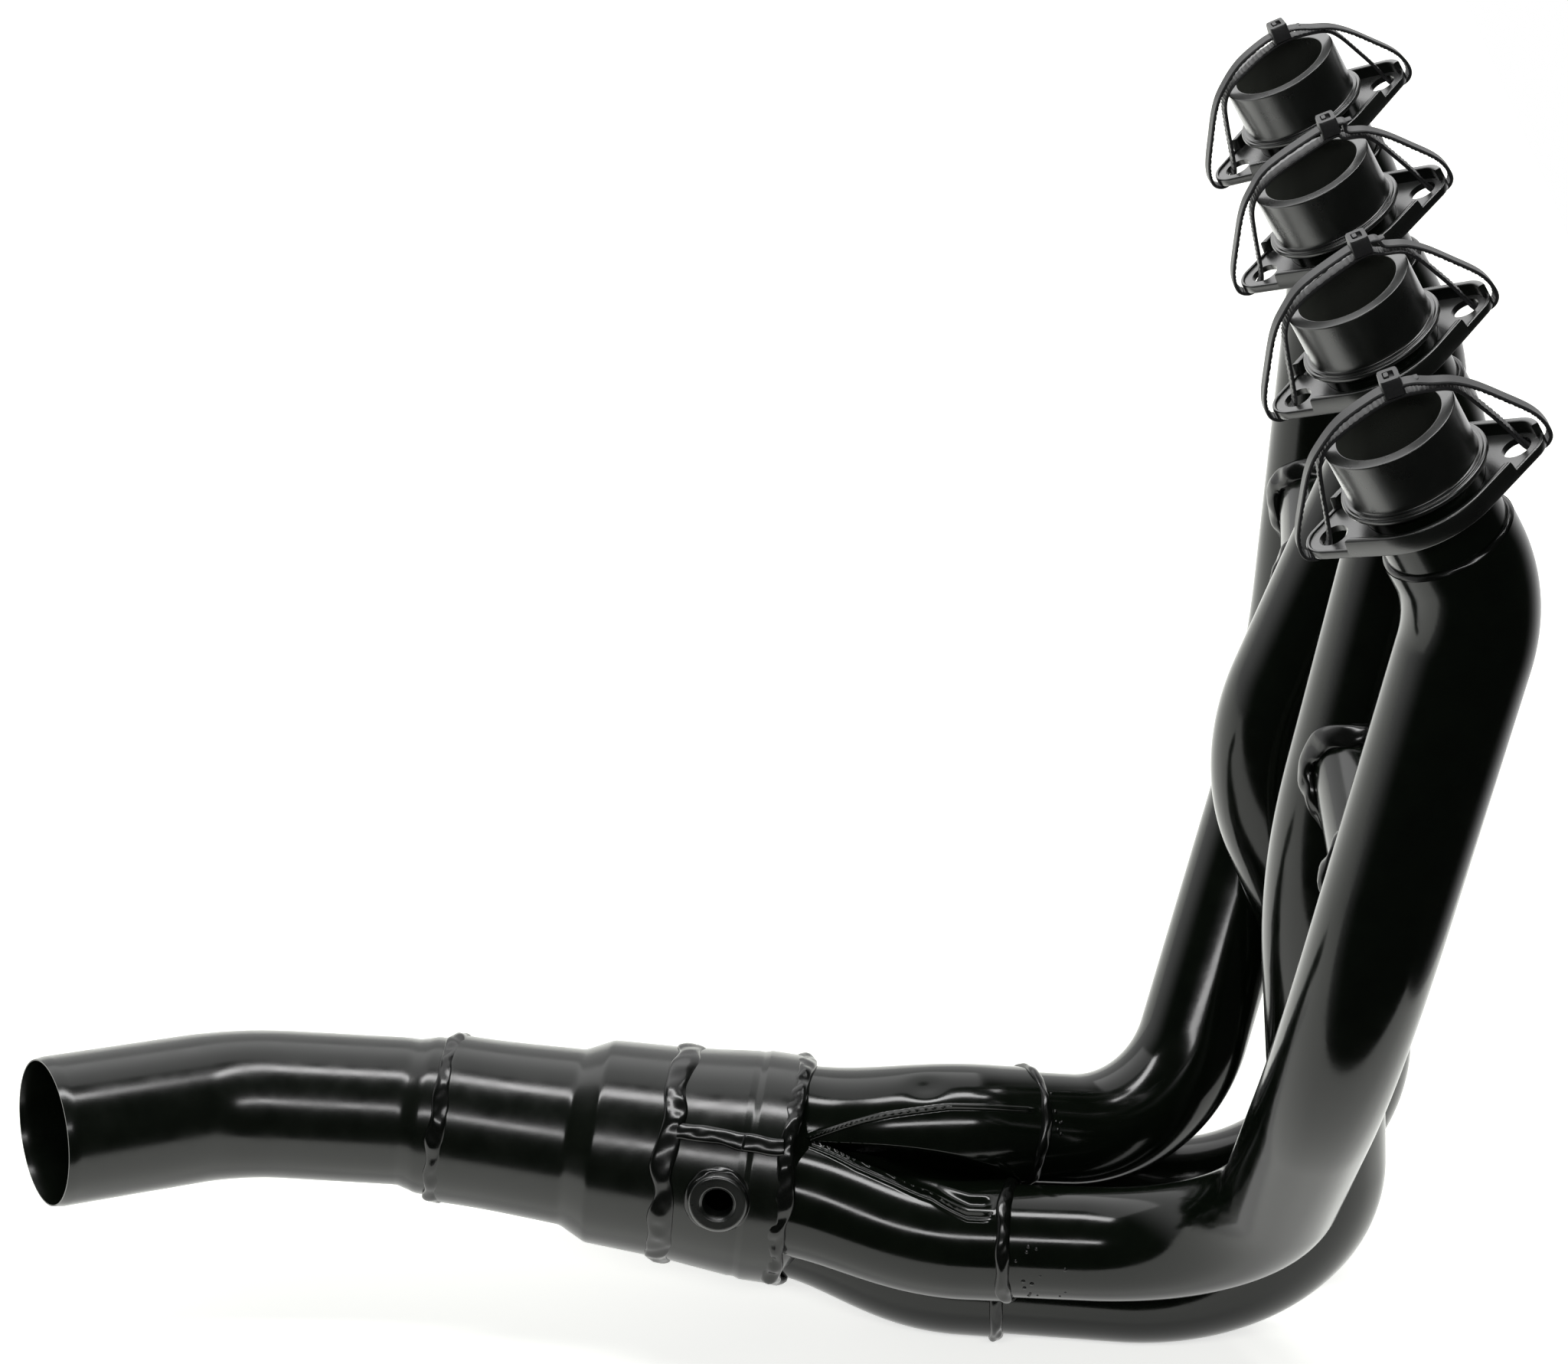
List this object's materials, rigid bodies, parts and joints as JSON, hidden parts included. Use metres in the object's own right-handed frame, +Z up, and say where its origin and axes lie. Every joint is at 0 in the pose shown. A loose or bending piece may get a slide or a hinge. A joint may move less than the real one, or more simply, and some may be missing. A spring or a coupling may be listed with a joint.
{
  "type": "motorcycle exhaust header",
  "caption": "Black painted exhaust header: bent primary tubes with loose bolted port flanges and balance tubes merge through a stepped collector into a bent outlet pipe.",
  "frame": {"origin": "centre of the mouth of port 1, the outermost port on the right-hand side of the engine", "axes": "+X forward, away from the outlet; +Y along the row of ports towards the left-hand side of the engine; +Z up"},
  "size_m": [0.5122, 0.3175, 0.4401],
  "materials": {
    "gloss_paint": "gloss black paint over mild steel tube",
    "satin_paint": "satin black paint over turned and pressed steel",
    "weld_paint": "gloss black paint over lumpy weld beads"
  },
  "bodies": {
    "root": {"primary_tube_1": "gloss_paint", "primary_tube_2": "gloss_paint", "primary_tube_3": "gloss_paint", "primary_tube_4": "gloss_paint", "collector_leg_1": "gloss_paint", "collector_leg_2": "gloss_paint", "collector_leg_3": "gloss_paint", "collector_leg_4": "gloss_paint", "crossover_12": "gloss_paint", "crossover_34": "gloss_paint", "collector_body": "gloss_paint", "collector_reducer": "gloss_paint", "outlet_pipe": "gloss_paint", "port_stub_1": "gloss_paint", "port_stub_2": "gloss_paint", "port_stub_3": "gloss_paint", "port_stub_4": "gloss_paint", "port_spigot_1": "satin_paint", "port_spigot_2": "satin_paint", "port_spigot_3": "satin_paint", "port_spigot_4": "satin_paint", "port_flange_1": "satin_paint", "port_flange_2": "satin_paint", "port_flange_3": "satin_paint", "port_flange_4": "satin_paint", "lambda_bung": "satin_paint", "port_weld_1": "weld_paint", "port_weld_2": "weld_paint", "port_weld_3": "weld_paint", "port_weld_4": "weld_paint", "leg_weld_1": "weld_paint", "leg_weld_2": "weld_paint", "leg_weld_3": "weld_paint", "leg_weld_4": "weld_paint", "crossover_weld_1": "weld_paint", "crossover_weld_2": "weld_paint", "crossover_weld_3": "weld_paint", "crossover_weld_4": "weld_paint", "merge_weld": "weld_paint", "body_weld": "weld_paint", "outlet_weld": "weld_paint"}
  },
  "joints": []
}
